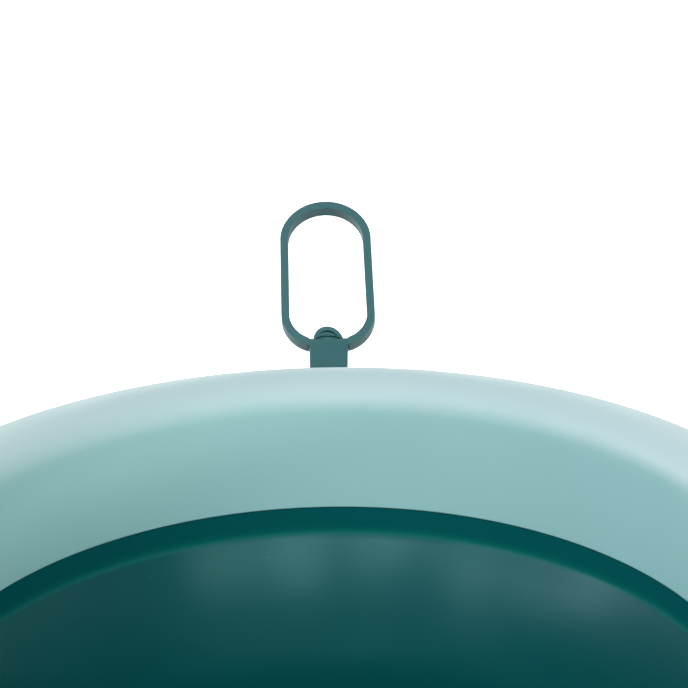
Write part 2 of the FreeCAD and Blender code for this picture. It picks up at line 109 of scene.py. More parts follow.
def runTree(name, tree, values):
    piece = addObject(name, bpy.data.meshes.new(name))
    shaper = piece.modifiers.new("shape", "NODES")
    shaper.node_group = tree
    for socket in tree.interface.items_tree:
        if socket.in_out == "INPUT" and socket.name in values:
            shaper[socket.identifier] = values[socket.name]
    piece.update_tag()
    applyModifiers(piece).name = name
    return piece


def newPiece(name, mesh, material):
    piece = addObject(name, mesh)
    mesh.materials.clear()
    mesh.materials.append(material)
    return piece


def settle(piece, body, slot, *replaced):
    if body:
        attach(piece, body)
    if replaced:
        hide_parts(*replaced)
    return piece


def islands(node):
    # the lowest and highest corner of each separate solid of a CAD node
    work = bmesh.new()
    work.from_mesh(nodes[node].data)
    bmesh.ops.remove_doubles(work, verts=work.verts, dist=1e-6)
    left, found = set(work.verts), []
    while left:
        group, edge = set(), [left.pop()]
        while edge:
            vertex = edge.pop()
            group.add(vertex)
            for link in vertex.link_edges:
                other = link.other_vert(vertex)
                if other in left:
                    left.discard(other)
                    edge.append(other)
        spots = np.array([v.co for v in group])
        found.append((spots.min(0), spots.max(0)))
    work.free()
    return sorted(found, key=lambda box: tuple(box[0].round(5)))


# materials

def newMaterial(name):
    material = bpy.data.materials.new(name)
    material.use_nodes = True
    tree = material.node_tree
    place = addNode(tree, "ShaderNodeTexCoord").outputs["Object"]
    return material, tree, tree.nodes["Principled BSDF"], place


def noise(tree, place, scale, detail=3, stretch=(1, 1, 1)):
    spread = addNode(tree, "ShaderNodeMapping", {"Vector": place, "Scale": stretch})
    return addNode(tree, "ShaderNodeTexNoise", {
        "Vector": spread.outputs[0], "Scale": scale, "Detail": detail}).outputs["Fac"]


def between(tree, value, fromLow, fromHigh, toLow, toHigh):
    return addNode(tree, "ShaderNodeMapRange", {
        "Value": value, "From Min": fromLow, "From Max": fromHigh, "To Min": toLow, "To Max": toHigh},
        interpolation_type="SMOOTHSTEP").outputs["Result"]


def blendColour(tree, share, first, second):
    mixer = addNode(tree, "ShaderNodeMix", data_type="RGBA")
    for key, value in ((0, share), (6, first), (7, second)):
        if isinstance(value, bpy.types.NodeSocket):
            tree.links.new(value, mixer.inputs[key])
        else:
            mixer.inputs[key].default_value = value if key == 0 else (*value, 1)
    return mixer.outputs[2]


def maths(tree, operation, first, second=0.0):
    return addNode(tree, "ShaderNodeMath", {0: first, 1: second}, operation=operation).outputs[0]


def times(tree, first, second):
    return maths(tree, "MULTIPLY", first, second)


scratchShape = {"wobbleScale": 7, "wobble": 0.012, "runLength": (0.25, 0.2), "rowShift": 17.3,
                "gate": (0.6, 0.68), "facing": (0.2, 0.5), "leastWidth": 0.05}


def hairlines(tree, place, density, turn, width, share, seed):
    # straight scratches in parallel sets: thin slices of space, each broken into a few random lengths.
    # A slice narrows where the surface turns along it, so that a scratch keeps its width.
    h = scratchShape
    turned = addNode(tree, "ShaderNodeMapping", {"Vector": place, "Rotation": turn})
    parts = addNode(tree, "ShaderNodeSeparateXYZ", {0: turned.outputs[0]})
    facing = addNode(tree, "ShaderNodeMapping", {
        "Vector": addNode(tree, "ShaderNodeTexCoord").outputs["Normal"], "Rotation": turn},
        vector_type="VECTOR")
    along = addNode(tree, "ShaderNodeSeparateXYZ", {0: facing.outputs[0]}).outputs[0]
    sine = maths(tree, "SQRT", maths(tree, "SUBTRACT", 1.0, times(tree, along, along)))
    sliceWidth = times(tree, maths(tree, "MAXIMUM", sine, h["leastWidth"]), width)
    wobble = times(tree, noise(tree, place, h["wobbleScale"], 1), h["wobble"])
    across = times(tree, maths(tree, "ADD", parts.outputs[0], wobble), density)
    cell = maths(tree, "FLOOR", across)
    pick = addNode(tree, "ShaderNodeTexWhiteNoise", {"W": maths(tree, "ADD", cell, seed)},
                   noise_dimensions="1D")
    offset = maths(tree, "ABSOLUTE", maths(tree, "SUBTRACT", maths(tree, "FRACT", across), 0.5))
    line = between(tree, offset, 0, sliceWidth, 1, 0)
    run = addNode(tree, "ShaderNodeCombineXYZ", {
        "X": times(tree, cell, h["rowShift"]),
        "Y": times(tree, parts.outputs[1], density * h["runLength"][0]),
        "Z": times(tree, parts.outputs[2], density * h["runLength"][1])})
    stretch = addNode(tree, "ShaderNodeTexNoise", {"Vector": run.outputs[0], "Scale": 1.0, "Detail": 0.0})
    gate = between(tree, stretch.outputs[0], *h["gate"], 0, 1)
    chosen = times(tree, maths(tree, "LESS_THAN", pick.outputs[0], share), between(
        tree, sine, *h["facing"], 0, 1))
    return times(tree, times(tree, line, gate), chosen)


def specks(tree, place, scale, size, share):
    # small scattered grains of dust, only in some of the cells
    cells = addNode(tree, "ShaderNodeTexVoronoi", {"Vector": place, "Scale": scale, "Randomness": 1})
    dot = between(tree, cells.outputs["Distance"], size * 0.5, size, 1, 0)
    pick = maths(tree, "LESS_THAN", addNode(tree, "ShaderNodeSeparateColor", {
        "Color": cells.outputs["Color"]}).outputs[0], share)
    return times(tree, dot, pick)


def wornEdges(tree, low, high):
    return between(tree, addNode(tree, "ShaderNodeNewGeometry").outputs["Pointiness"], low, high, 0, 1)


def addBump(tree, shader, layers):
    # layers are (height, strength, depth in metres)
    normal = None
    for height, strength, depth in layers:
        bump = addNode(tree, "ShaderNodeBump", {"Height": height, "Strength": strength, "Distance": depth})
        if normal:
            tree.links.new(normal, bump.inputs["Normal"])
        normal = bump.outputs[0]
    tree.links.new(normal, shader.inputs["Normal"])


# what a moulded finish has unless its own look says otherwise
usualLook = {
    "driftScale": 9, "grainScale": 2600, "grainShare": 0.05, "grainBump": 0.2, "grainDepth": 0.00004,
    "scuffScale": 500, "scuffWide": 0.09, "scuffCount": 0.28, "scuffShare": 0.15, "dustScale": 420,
    "dustSize": 0.12, "dustShare": 0.03, "dustStrength": 0.25, "edgeShare": 0.25, "glossScale": 26,
    "specular": 0.5, "glossTint": (1, 1, 1), "sheen": 0.0, "waveScale": 34, "waveDepth": 0.0004}


def mouldedFinish(name, ownLook):
    # hard or soft moulded plastic: slow colour drift, fine grain, scuffs, dust and rubbed edges, and where a
    # look asks, painted light in bands by height
    look = {**usualLook, **ownLook}
    material, tree, shader, place = newMaterial(name)
    drift = between(tree, noise(tree, place, look["driftScale"], 2), 0.3, 0.7, 0, 1)
    colour = blendColour(tree, drift, look["colour"], look["second"])
    height = addNode(tree, "ShaderNodeSeparateXYZ", {0: place}).outputs["Z"]
    if "litTop" in look:
        # painted highlight: the top is painted lighter and greyer, standing in for the light and sheen it
        # catches from above
        uneven = maths(tree, "ADD", height, times(tree, noise(tree, place, 20, 2), 0.004))
        colour = blendColour(tree, between(tree, uneven, *look["litTopHeights"], 0, 1), colour, look["litTop"])
    if "lip" in look:
        # painted light: above the ridge the soft wall is painted a lighter collar colour than the shaded wall
        # below, and the thin lip where it starts to slope is painted a lighter green band, a painted
        # highlight
        low, middle, high = look["lipHeights"]
        above = between(tree, height, low, middle, 0, 1)
        share = times(tree, above, between(tree, height, middle, high, 1, 0))
        colour = blendColour(tree, above, colour, look["collar"])
        colour = blendColour(tree, share, colour, look["lip"])
    grain = noise(tree, place, look["grainScale"], 2)
    colour = blendColour(tree, between(tree, grain, 0.35, 0.65, 0, look["grainShare"]), colour, look["pale"])
    fine, wide, count = look["scuffScale"], look["scuffWide"], look["scuffCount"]
    scuff = maths(tree, "MAXIMUM", hairlines(tree, place, fine, (0.3, 0.2, 0.7), wide, count, 3),
                  hairlines(tree, place, fine * 1.3, (0.1, 0.9, -0.6), wide, count, 71))
    dust = specks(tree, place, look["dustScale"], look["dustSize"], look["dustShare"])
    marks = maths(tree, "ADD", times(tree, scuff, look["scuffShare"]),
                  times(tree, dust, look["dustStrength"]))
    colour = blendColour(tree, marks, colour, look["pale"])
    rubbed = times(tree, wornEdges(tree, 0.515, 0.56), look["edgeShare"])
    colour = blendColour(tree, rubbed, colour, look["pale"])
    tree.links.new(colour, shader.inputs["Base Color"])
    gloss = between(tree, noise(tree, place, look["glossScale"], 4), 0.3, 0.7, *look["roughness"])
    gloss = maths(tree, "ADD", gloss, times(tree, marks, 0.5))  # marks are duller
    tree.links.new(gloss, shader.inputs["Roughness"])
    shader.inputs["Specular IOR Level"].default_value = look["specular"]
    shader.inputs["Specular Tint"].default_value = (*look["glossTint"], 1)
    if look["sheen"]:
        shader.inputs["Sheen Weight"].default_value = look["sheen"]
        shader.inputs["Sheen Roughness"].default_value = 0.4
    wave = noise(tree, place, look["waveScale"], 1)
    addBump(tree, shader, [(grain, look["grainBump"], look["grainDepth"]), (wave, 0.25, look["waveDepth"]),
                           (scuff, 0.2, -look["grainDepth"])])
    return material


paleTeal = mouldedFinish("paleTealShell", {
    "colour": (0.23, 0.424, 0.43), "second": (0.241, 0.438, 0.445), "pale": (0.5, 0.68, 0.68),
    # the top colour is a painted highlight, lighter and greyer where the rim catches the light
    "litTop": (0.333, 0.446, 0.467), "litTopHeights": (0.184, 0.203),
    "roughness": (0.48, 0.56), "grainBump": 0.1, "scuffShare": 0.1, "dustShare": 0.015,
    "dustStrength": 0.15, "edgeShare": 0.1, "waveDepth": 0.00015, "sheen": 0.12})
floorTeal = mouldedFinish("paleTealFloor", {
    "colour": (0.25, 0.44, 0.445), "second": (0.27, 0.46, 0.465), "pale": (0.5, 0.66, 0.67),
    "roughness": (0.4, 0.55), "specular": 0.45, "grainScale": 1500, "grainBump": 0.35, "scuffScale": 300,
    "scuffShare": 0.22, "edgeShare": 0.2})
frameTeal = mouldedFinish("paleTealFrame", {
    "colour": (0.23, 0.41, 0.415), "second": (0.25, 0.43, 0.435), "pale": (0.46, 0.62, 0.63),
    "roughness": (0.5, 0.62), "specular": 0.4, "grainScale": 1200, "grainBump": 0.5, "scuffShare": 0.25,
    "dustShare": 0.04, "edgeShare": 0.3})
deepTeal = mouldedFinish("deepTealWall", {
    "colour": (0.0006, 0.052, 0.0555), "second": (0.0012, 0.057, 0.061), "pale": (0.10, 0.25, 0.26),
    "roughness": (0.262, 0.274), "specular": 0.155, "glossTint": (0.48, 0.96, 1.0),
    # the collar and lip colours are painted light: lighter bands at the top of the soft wall
    "collar": (0.0008, 0.068, 0.074), "lip": (0.0012, 0.088, 0.079), "lipHeights": (0.1245, 0.1275, 0.1315),
    "grainScale": 1800, "grainShare": 0.0, "grainBump": 0.0, "scuffScale": 140, "scuffWide": 0.035,
    "scuffShare": 0.0, "scuffCount": 0.0, "dustScale": 260, "dustShare": 0.012, "edgeShare": 0.04,
    "waveScale": 14, "waveDepth": 0.00015})
strapTeal = mouldedFinish("greyTealStrap", {
    "colour": (0.02, 0.08, 0.088), "second": (0.023, 0.087, 0.095), "pale": (0.12, 0.22, 0.24),
    "roughness": (0.46, 0.58), "specular": 0.2, "grainScale": 3200, "grainBump": 0.25, "scuffScale": 1400,
    "scuffShare": 0.15, "dustScale": 1500, "dustShare": 0.03, "edgeShare": 0.12, "waveScale": 120,
    "waveDepth": 0.0001})
drainTeal = mouldedFinish("greyTealDrain", {
    "colour": (0.065, 0.165, 0.18), "second": (0.072, 0.178, 0.192), "pale": (0.25, 0.37, 0.38),
    "roughness": (0.38, 0.5), "specular": 0.45, "grainScale": 2200, "grainBump": 0.25, "scuffScale": 900,
    "scuffShare": 0.3, "dustScale": 900, "edgeShare": 0.35})
footRubber = mouldedFinish("darkFootRubber", {
    "colour": (0.006, 0.036, 0.04), "second": (0.01, 0.044, 0.048), "pale": (0.08, 0.13, 0.135),
    "roughness": (0.62, 0.78), "specular": 0.3, "grainScale": 1400, "grainBump": 0.6, "scuffScale": 700,
    "scuffShare": 0.3, "dustScale": 700, "dustShare": 0.08, "edgeShare": 0.5})
blackRubber = mouldedFinish("blackGasketRubber", {
    "colour": (0.014, 0.014, 0.014), "second": (0.02, 0.02, 0.02), "pale": (0.08, 0.08, 0.08),
    "roughness": (0.6, 0.8), "specular": 0.3, "grainScale": 1600, "grainBump": 0.6, "dustShare": 0.08,
    "edgeShare": 0.4})


def zincFinish(name):
    material, tree, shader, place = newMaterial(name)
    drift = noise(tree, place, 420, 4)
    colour = blendColour(tree, between(tree, drift, 0.35, 0.65, 0, 1), (0.5, 0.51, 0.53), (0.62, 0.62, 0.62))
    stain = between(tree, noise(tree, place, 150, 3), 0.6, 0.75, 0, 0.5)
    colour = blendColour(tree, stain, colour, (0.42, 0.38, 0.3))
    tree.links.new(colour, shader.inputs["Base Color"])
    shader.inputs["Metallic"].default_value = 1
    gloss = between(tree, noise(tree, place, 900, 3), 0.3, 0.7, 0.26, 0.44)
    tree.links.new(gloss, shader.inputs["Roughness"])
    addBump(tree, shader, [(noise(tree, place, 2400, 3, (1, 1, 8)), 0.3, 0.00003)])
    return material


zincSteel = zincFinish("zincSteel")
print("materials made")


# outlines and the oval sweep

def bevelled(corners, arcSteps=5, hug=0.0006):
    # corners are (x, y, radius): an arc takes each corner, with a point close by on the straight at
    # each side of it, so that the flats between shade flat
    points = []
    for number, (x, y, radius) in enumerate(corners):
        here = np.array((x, y))
        if radius <= 0:
            points.append(here)
            continue
        before = np.array(corners[number - 1][:2]) - here
        after = np.array(corners[(number + 1) % len(corners)][:2]) - here
        sides = [np.linalg.norm(before), np.linalg.norm(after)]
        u, v = before / sides[0], after / sides[1]
        turn = math.acos(max(-1.0, min(1.0, float(u @ v))))
        back = radius / math.tan(turn / 2)
        centre = here + (u + v) / np.linalg.norm(u + v) * radius / math.sin(turn / 2)
        start, end = here + u * back, here + v * back
        points.append(start + u * max(0.0, min(hug, (sides[0] - back) * 0.4)))
        first = math.atan2(*(start - centre)[::-1])
        sweep = (math.atan2(*(end - centre)[::-1]) - first + math.pi) % (2 * math.pi) - math.pi
        for step in range(arcSteps + 1):
            angle = first + sweep * step / arcSteps
            points.append(centre + radius * np.array((math.cos(angle), math.sin(angle))))
        points.append(end + v * max(0.0, min(hug, (sides[1] - back) * 0.4)))
    return points


def arc(centre, radius, first, last, steps):
    # corners along an arc, from one angle to another, in degrees
    return [(centre[0] + radius * math.cos(math.radians(first + (last - first) * n / steps)),
             centre[1] + radius * math.sin(math.radians(first + (last - first) * n / steps)), 0)
            for n in range(steps + 1)]


def profileHolder(name, points):
    # the sweep turns an outline's height upside down, so it is entered that way, anticlockwise
    flipped = [(x, -y) for x, y in points]
    area = sum(a[0] * b[1] - b[0] * a[1] for a, b in zip(flipped, flipped[1:] + flipped[:1]))
    if area < 0:
        flipped.reverse()
    curve = bpy.data.curves.new(name, "CURVE")
    curve.dimensions = "3D"
    spline = curve.splines.new("POLY")
    spline.points.add(len(flipped) - 1)
    for point, (x, y) in zip(spline.points, flipped):
        point.co = (x, y, 0, 1)
    spline.use_cyclic_u = True
    return addObject(name, curve)


def ovalTree():
    tree, put = newGeometryTree("ovalSweep", {
        "Half width": "Float", "Half length": "Float", "Steps": "Int", "Profile": "Object",
        "Waviness": "Float", "Wave top": "Float", "Wave bottom": "Float", "Material": "Material"})
    circle = addNode(tree, "GeometryNodeCurvePrimitiveCircle", {
        "Resolution": put["Steps"], "Radius": 1.0}, mode="RADIUS")
    size = addNode(tree, "ShaderNodeCombineXYZ", {"X": put["Half width"], "Y": put["Half length"], "Z": 1.0})
    oval = addNode(tree, "GeometryNodeTransform", {"Geometry": circle.outputs[0], "Scale": size.outputs[0]})
    upright = addNode(tree, "GeometryNodeSetCurveNormal", {"Curve": oval.outputs[0]}, mode="Z_UP")
    outline = addNode(tree, "GeometryNodeObjectInfo", {"Object": put["Profile"]})
    swept = addNode(tree, "GeometryNodeCurveToMesh", {
        "Curve": upright.outputs[0], "Profile Curve": outline.outputs["Geometry"]})
    # slow waves, only between two heights, as a soft wall has
    spot = addNode(tree, "GeometryNodeInputPosition")
    height = addNode(tree, "ShaderNodeSeparateXYZ", {0: spot.outputs[0]}).outputs["Z"]
    share = times(tree, between(tree, height, put["Wave bottom"], put["Wave top"], 0, 1),
                  between(tree, height, put["Wave bottom"], put["Wave top"], 1, 0))
    squeezed = addNode(tree, "ShaderNodeVectorMath", {0: spot.outputs[0], 1: (1, 1, 0.6)},
                       operation="MULTIPLY")
    wave = addNode(tree, "ShaderNodeTexNoise", {"Vector": squeezed.outputs[0], "Scale": 14.0, "Detail": 1.0})
    swell = times(tree, maths(tree, "SUBTRACT", wave.outputs[0], 0.5), share)
    push = times(tree, swell, times(tree, put["Waviness"], 8.0))
    radial = addNode(tree, "ShaderNodeVectorMath", {0: spot.outputs[0], 1: (1, 1, 0)}, operation="MULTIPLY")
    outwards = addNode(tree, "ShaderNodeVectorMath", {0: radial.outputs[0]}, operation="NORMALIZE")
    shift = addNode(tree, "ShaderNodeVectorMath", {0: outwards.outputs[0], "Scale": push}, operation="SCALE")
    waved = addNode(tree, "GeometryNodeSetPosition", {
        "Geometry": swept.outputs[0], "Offset": shift.outputs[0]})
    smooth = addNode(tree, "GeometryNodeSetShadeSmooth", {"Geometry": waved.outputs[0]})
    closeGeometryTree(tree, smooth.outputs[0], put["Material"])
    return tree


ovalSweepTree = ovalTree()


def ovalPiece(name, points, material, waviness=0.0, waves=(0.0, 1.0)):
    holder = profileHolder(name + "Outline", points)
    piece = runTree(name, ovalSweepTree, {
        "Half width": ovalHalfWidth, "Half length": ovalHalfLength, "Steps": tub["ovalSteps"],
        "Profile": holder, "Waviness": waviness, "Wave bottom": waves[0], "Wave top": waves[1],
        "Material": material})
    bpy.data.objects.remove(holder)
    return piece


# rim: rolled edge, outer skirt and inner wall

rimShape = {"wall": 0.0026, "lowerRound": 0.0005, "skirtRound": 0.0011, "beadDepth": 0.0005, "beadAt": 0.0035,
            "beadWide": 0.0017, "beadRound": 0.0002, "outerSteps": 44, "innerSteps": 24}
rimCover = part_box("rim_cover_ring")
skirtBottom = rimCover[0].z
shellBottom = rimLow.z
rollOut = tub["rollRadius"]
rollIn = rollOut - rimShape["wall"]
wallFoot = -(rollOut + (rollCentre - shellBottom) * leanSlope)


def wallOuterAt(height):
    return wallFoot + rimShape["wall"] + (height - shellBottom) * leanSlope


beadLow, beadIn = skirtBottom + rimShape["beadAt"], rollOut - rimShape["beadDepth"]
beadHigh, beadRound = beadLow + rimShape["beadWide"], rimShape["beadRound"]
leanAngle = 180 - tub["wallLean"]
rimPoints = bevelled(
    [(rollOut, skirtBottom, rimShape["skirtRound"]), (rollOut, beadLow, beadRound),
     (beadIn, beadLow + rimShape["beadDepth"], beadRound),
     (beadIn, beadHigh - rimShape["beadDepth"], beadRound), (rollOut, beadHigh, beadRound)]
    + arc((0, rollCentre), rollOut, 0, leanAngle, rimShape["outerSteps"])
    + [(wallFoot, shellBottom, rimShape["lowerRound"]),
       (wallFoot + rimShape["wall"], shellBottom, rimShape["lowerRound"])]
    + arc((0, rollCentre), rollIn, leanAngle, 0, rimShape["innerSteps"])
    + [(rollIn, skirtBottom, rimShape["lowerRound"])])
settle(ovalPiece("rim", rimPoints, paleTeal), "rim", "rim_plastic", "rim_shell")

# ring that closes the roll from below

coverShape = {"thick": 0.0024, "lip": 0.005, "round": 0.0006, "innerRound": 0.0004, "clearance": 0.0001,
              "grooves": (0.3, 0.7), "grooveDeep": 0.0006, "grooveWide": 0.0022, "grooveSlope": 0.0004}
coverTop = skirtBottom + coverShape["thick"]
lipTop = coverTop + coverShape["lip"]
coverOuter = rollIn - coverShape["clearance"]
coverInner = wallOuterAt(skirtBottom) + coverShape["clearance"]
thick, small = coverShape["thick"], coverShape["innerRound"]
grooves = []
for share in coverShape["grooves"]:
    middle = coverOuter + (coverInner - coverOuter) * share
    half, deep = coverShape["grooveWide"] / 2, skirtBottom + coverShape["grooveDeep"]
    bottom = half - coverShape["grooveSlope"]
    grooves += [(middle + half, skirtBottom, 0.0003), (middle + bottom, deep, 0.0002),
                (middle - bottom, deep, 0.0002), (middle - half, skirtBottom, 0.0003)]
cover = ovalPiece("rim_underside", bevelled(
    [(coverOuter, skirtBottom, coverShape["round"])] + grooves
    + [(coverInner, skirtBottom, coverShape["round"]),
       (wallOuterAt(lipTop) + coverShape["clearance"], lipTop, small),
       (wallOuterAt(lipTop) + thick, lipTop, small), (wallOuterAt(coverTop) + thick, coverTop, small),
       (coverOuter - thick, coverTop, small), (coverOuter - thick, lipTop, small),
       (coverOuter, lipTop, small)]), paleTeal)
settle(cover, "rim", "rim_plastic", "rim_cover_ring")
print("rim made")

# soft folding wall: one skin from the shell down to the base

wallShape = {"thick": 0.0024, "setBack": 0.0008, "lap": 0.002, "lipRound": 0.006, "lipProud": 0.0003,
             "bulge": 0.28, "footRound": 0.07, "footRun": 0.0095, "footOut": 0.0035, "folds": 3,
             "foldDepth": 0.0011, "foldSteps": 48, "foldSharp": 0.55, "clampLip": 0.0029, "waviness": 0.0006,
             "wavesBelowRidge": 0.002}
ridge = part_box("wall_collar")[0].z
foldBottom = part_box("wall_lower")[1].z
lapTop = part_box("wall_collar")[1].z
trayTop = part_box("base_tray")[1].z
trayOuter = outerEdge("base_tray")
wallFootOut = trayOuter + wallShape["footOut"]
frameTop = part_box("base_frame")[1].z
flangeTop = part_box("wall_lower")[0].z


def foldIn(height):
    # inner face of the fold zone: a soft shoulder under the ridge, then steeper
    t = (ridge - height) / (ridge - foldBottom)
    return wallFoot + (wallFootOut - wallFoot) * (t + wallShape["bulge"] * t * (1 - t))


steps = wallShape["foldSteps"]
heights = [ridge + (foldBottom - ridge) * n / steps for n in range(steps + 1)]
innerFace = [(foldIn(h), h, 0) for h in heights[2:-1] if h > foldBottom + wallShape["footRun"]]
outerFace = []
for number, h in enumerate(heights[1:-1], 1):
    scallop = abs(math.sin(math.pi * wallShape["folds"] * number / steps)) ** wallShape["foldSharp"]
    outerFace.append((foldIn(h) + wallShape["thick"] + wallShape["foldDepth"] * (scallop - 0.35), h, 0))
setBackOut = wallFoot + wallShape["setBack"]
clampOut = trayOuter + wallShape["clampLip"]
wallCorners = (
    [(wallOuterAt(lapTop), lapTop, 0.0003), (wallFoot + rimShape["wall"], shellBottom, 0),
     (setBackOut, shellBottom, 0.0002), (foldIn(ridge) - wallShape["lipProud"], ridge, wallShape["lipRound"])]
    + innerFace
    + [(wallFootOut, foldBottom, wallShape["footRound"]), (trayOuter + 0.0002, trayTop, 0.0005),
       (trayOuter + 0.0001, flangeTop, 0), (clampOut, flangeTop, 0), (clampOut, frameTop - 0.0005, 0.0005),
       (clampOut + 0.0005, frameTop + 0.0008, 0.0005), (wallFootOut + 0.003, foldBottom, 0.003)]
    + outerFace[::-1]
    + [(wallFoot + 0.003, ridge, 0.0008),
       (wallFoot + rimShape["wall"] + wallShape["lap"], shellBottom, 0.003),
       (wallOuterAt(lapTop) + wallShape["lap"], lapTop, 0.0008)])
foldingWall = ovalPiece("folding_wall", bevelled(wallCorners), deepTeal, wallShape["waviness"],
                        (foldBottom, ridge - wallShape["wavesBelowRidge"]))
settle(foldingWall, None, "soft_wall", "wall_collar", "fold_band_upper", "fold_band_middle",
       "fold_band_lower", "wall_lower")
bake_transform(foldingWall)
print("folding wall made")

# base ring

baseShape = {"wall": 0.003, "flange": 0.024, "bead": 0.0008, "beadFrom": 0.006, "beadTo": 0.0044,
             "beadRound": 0.0003}
frameLow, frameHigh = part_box("base_frame")
frameOut = outerEdge("base_frame")
frameIn = frameOut - baseShape["wall"]
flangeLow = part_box("foot_pad_rear_right")[1].z - 0.005
flangeEnd = trayOuter - baseShape["flange"]
beadIn, beadRound = frameOut - baseShape["bead"], baseShape["beadRound"]
beadLow, beadHigh = frameLow.z + baseShape["beadFrom"], frameHigh.z - baseShape["beadTo"]
baseRing = ovalPiece("base_ring", bevelled(
    [(frameOut, frameLow.z, 0.001), (frameOut, beadLow, beadRound),
     (beadIn, beadLow + baseShape["bead"], beadRound), (beadIn, beadHigh - baseShape["bead"], beadRound),
     (frameOut, beadHigh, beadRound), (frameOut, frameHigh.z, 0.0012), (frameIn, frameHigh.z, 0.0003),
     (frameIn, flangeTop, 0), (flangeEnd, flangeTop, 0.0006), (flangeEnd, flangeLow, 0.0008),
     (frameIn, flangeLow, 0.0015), (frameIn, frameLow.z, 0.0005)]), frameTeal)
settle(baseRing, "base", "frame_plastic", "base_frame")
print("base ring made")

# CAD shapes with their edges rounded

def softened(name, node, material, width, steps=2, bend=None):
    # a copy of a CAD node with its edges rounded; "bend" moves each point of the finished shape
    work = bmesh.new()
    work.from_mesh(nodes[node].data)
    bmesh.ops.remove_doubles(work, verts=work.verts, dist=1e-6)
    bmesh.ops.dissolve_limit(work, angle_limit=math.radians(0.4), verts=work.verts, edges=work.edges)
    mesh = bpy.data.meshes.new(name)
    work.to_mesh(mesh)
    work.free()
    piece = newPiece(name, mesh, material)
    mesh.polygons.foreach_set("use_smooth", [True] * len(mesh.polygons))
    edges = piece.modifiers.new("edges", "BEVEL")
    edges.width = width
    edges.segments = steps
    edges.limit_method = "ANGLE"
    edges.angle_limit = math.radians(28)
    edges.use_clamp_overlap = True
    edges.miter_outer = "MITER_ARC"
    level = piece.modifiers.new("level", "WEIGHTED_NORMAL")
    level.keep_sharp = True
    made = applyModifiers(piece)
    if bend:
        for vertex in made.vertices:
            vertex.co = bend(vertex.co)
    made.name = name
    return piece


trayShape = {"edge": 0.0004}
settle(softened("basin_floor", "base_tray", floorTeal, trayShape["edge"]), "base", "tray_plastic",
       "base_tray")
print("basin floor made")

# screws with a cross recess

def moved(tree, geometry, shift):
    return addNode(tree, "GeometryNodeTransform", {"Geometry": geometry, "Translation": shift})


def screwTree():
    tree, put = newGeometryTree("panHeadScrews", {
        "Places": "Object", "Head radius": "Float", "Head height": "Float", "Shank radius": "Float",
        "Shank length": "Float", "Recess width": "Float", "Recess depth": "Float", "Material": "Material"})
    half = times(tree, put["Head height"], 0.5)
    head = addNode(tree, "GeometryNodeMeshCone", {
        "Vertices": 32, "Radius Top": put["Head radius"],
        "Radius Bottom": times(tree, put["Head radius"], 0.86),
        "Depth": times(tree, half, 0.6)})
    skirt = addNode(tree, "GeometryNodeMeshCylinder", {
        "Vertices": 32, "Radius": put["Head radius"],
        "Depth": times(tree, put["Head height"], 0.7)})
    down = addNode(tree, "ShaderNodeCombineXYZ", {"Z": times(tree, put["Head height"], -1.0)})
    lowered = moved(tree, head.outputs[0], down.outputs[0])
    mid = addNode(tree, "ShaderNodeCombineXYZ", {"Z": times(tree, put["Head height"], -0.35)})
    body = moved(tree, skirt.outputs[0], mid.outputs[0])
    bars = []
    for turn in (0, math.pi / 2):
        size = addNode(tree, "ShaderNodeCombineXYZ", {
            "X": times(tree, put["Recess width"], 4.2), "Y": put["Recess width"],
            "Z": times(tree, put["Recess depth"], 2.0)})
        bar = addNode(tree, "GeometryNodeMeshCube", {"Size": size.outputs[0]})
        bars.append(addNode(tree, "GeometryNodeTransform", {
            "Geometry": bar.outputs[0], "Translation": down.outputs[0], "Rotation": (0, 0, turn)}).outputs[0])
    whole = addNode(tree, "GeometryNodeMeshBoolean", {}, operation="UNION", solver="EXACT")
    tree.links.new(body.outputs[0], whole.inputs[1])
    tree.links.new(lowered.outputs[0], whole.inputs[1])
    cut = addNode(tree, "GeometryNodeMeshBoolean", {"Mesh 1": whole.outputs[0]}, operation="DIFFERENCE",
                  solver="EXACT")
    for bar in bars:
        tree.links.new(bar, cut.inputs[1])
    shank = addNode(tree, "GeometryNodeMeshCylinder", {
        "Vertices": 24, "Radius": put["Shank radius"], "Depth": put["Shank length"]})
    up = addNode(tree, "ShaderNodeCombineXYZ", {"Z": times(tree, put["Shank length"], 0.5)})
    raised = moved(tree, shank.outputs[0], up.outputs[0])
    screw = addNode(tree, "GeometryNodeJoinGeometry")
    tree.links.new(cut.outputs[0], screw.inputs[0])
    tree.links.new(raised.outputs[0], screw.inputs[0])
    places = addNode(tree, "GeometryNodeObjectInfo", {"Object": put["Places"]})
    spin = addNode(tree, "FunctionNodeRandomValue", {"Min": (0, 0, 0), "Max": (0, 0, 6.283), "Seed": 4},
                   data_type="FLOAT_VECTOR")
    driven = addNode(tree, "GeometryNodeInstanceOnPoints", {
        "Points": places.outputs["Geometry"], "Instance": screw.outputs[0], "Rotation": spin.outputs[0]})
    closeGeometryTree(tree, driven.outputs[0], put["Material"])
    return tree


screwSizes = {"headRadius": 0.004, "headHeight": 0.0022, "shankRadius": 0.002, "recessWidth": 0.001,
              "recessDepth": 0.0011}
panHeadScrews = screwTree()


def pointsObject(name, places):
    mesh = bpy.data.meshes.new(name)
    mesh.from_pydata([tuple(p) for p in places], [], [])
    return addObject(name, mesh)


def screwPiece(name, node, body):
    boxes = islands(node)
    places = [((low[0] + high[0]) / 2, (low[1] + high[1]) / 2, low[2] + screwSizes["headHeight"])
              for low, high in boxes]
    length = float(boxes[0][1][2] - boxes[0][0][2]) - screwSizes["headHeight"]
    holder = pointsObject(name + "Places", places)
    piece = runTree(name, panHeadScrews, {
        "Places": holder, "Head radius": screwSizes["headRadius"], "Head height": screwSizes["headHeight"],
        "Shank radius": screwSizes["shankRadius"], "Shank length": length,
        "Recess width": screwSizes["recessWidth"], "Recess depth": screwSizes["recessDepth"],
        "Material": zincSteel})
    bpy.data.objects.remove(holder)
    return settle(piece, body, "steel", node)


screwPiece("frame_screws", "base_screws", "base")
screwPiece("bracket_screws", "anchor_screws", "rim")
print("screws made")

# feet, each turned from a profile

onAxis = 1e-7  # a smaller radius counts as a point on the axis


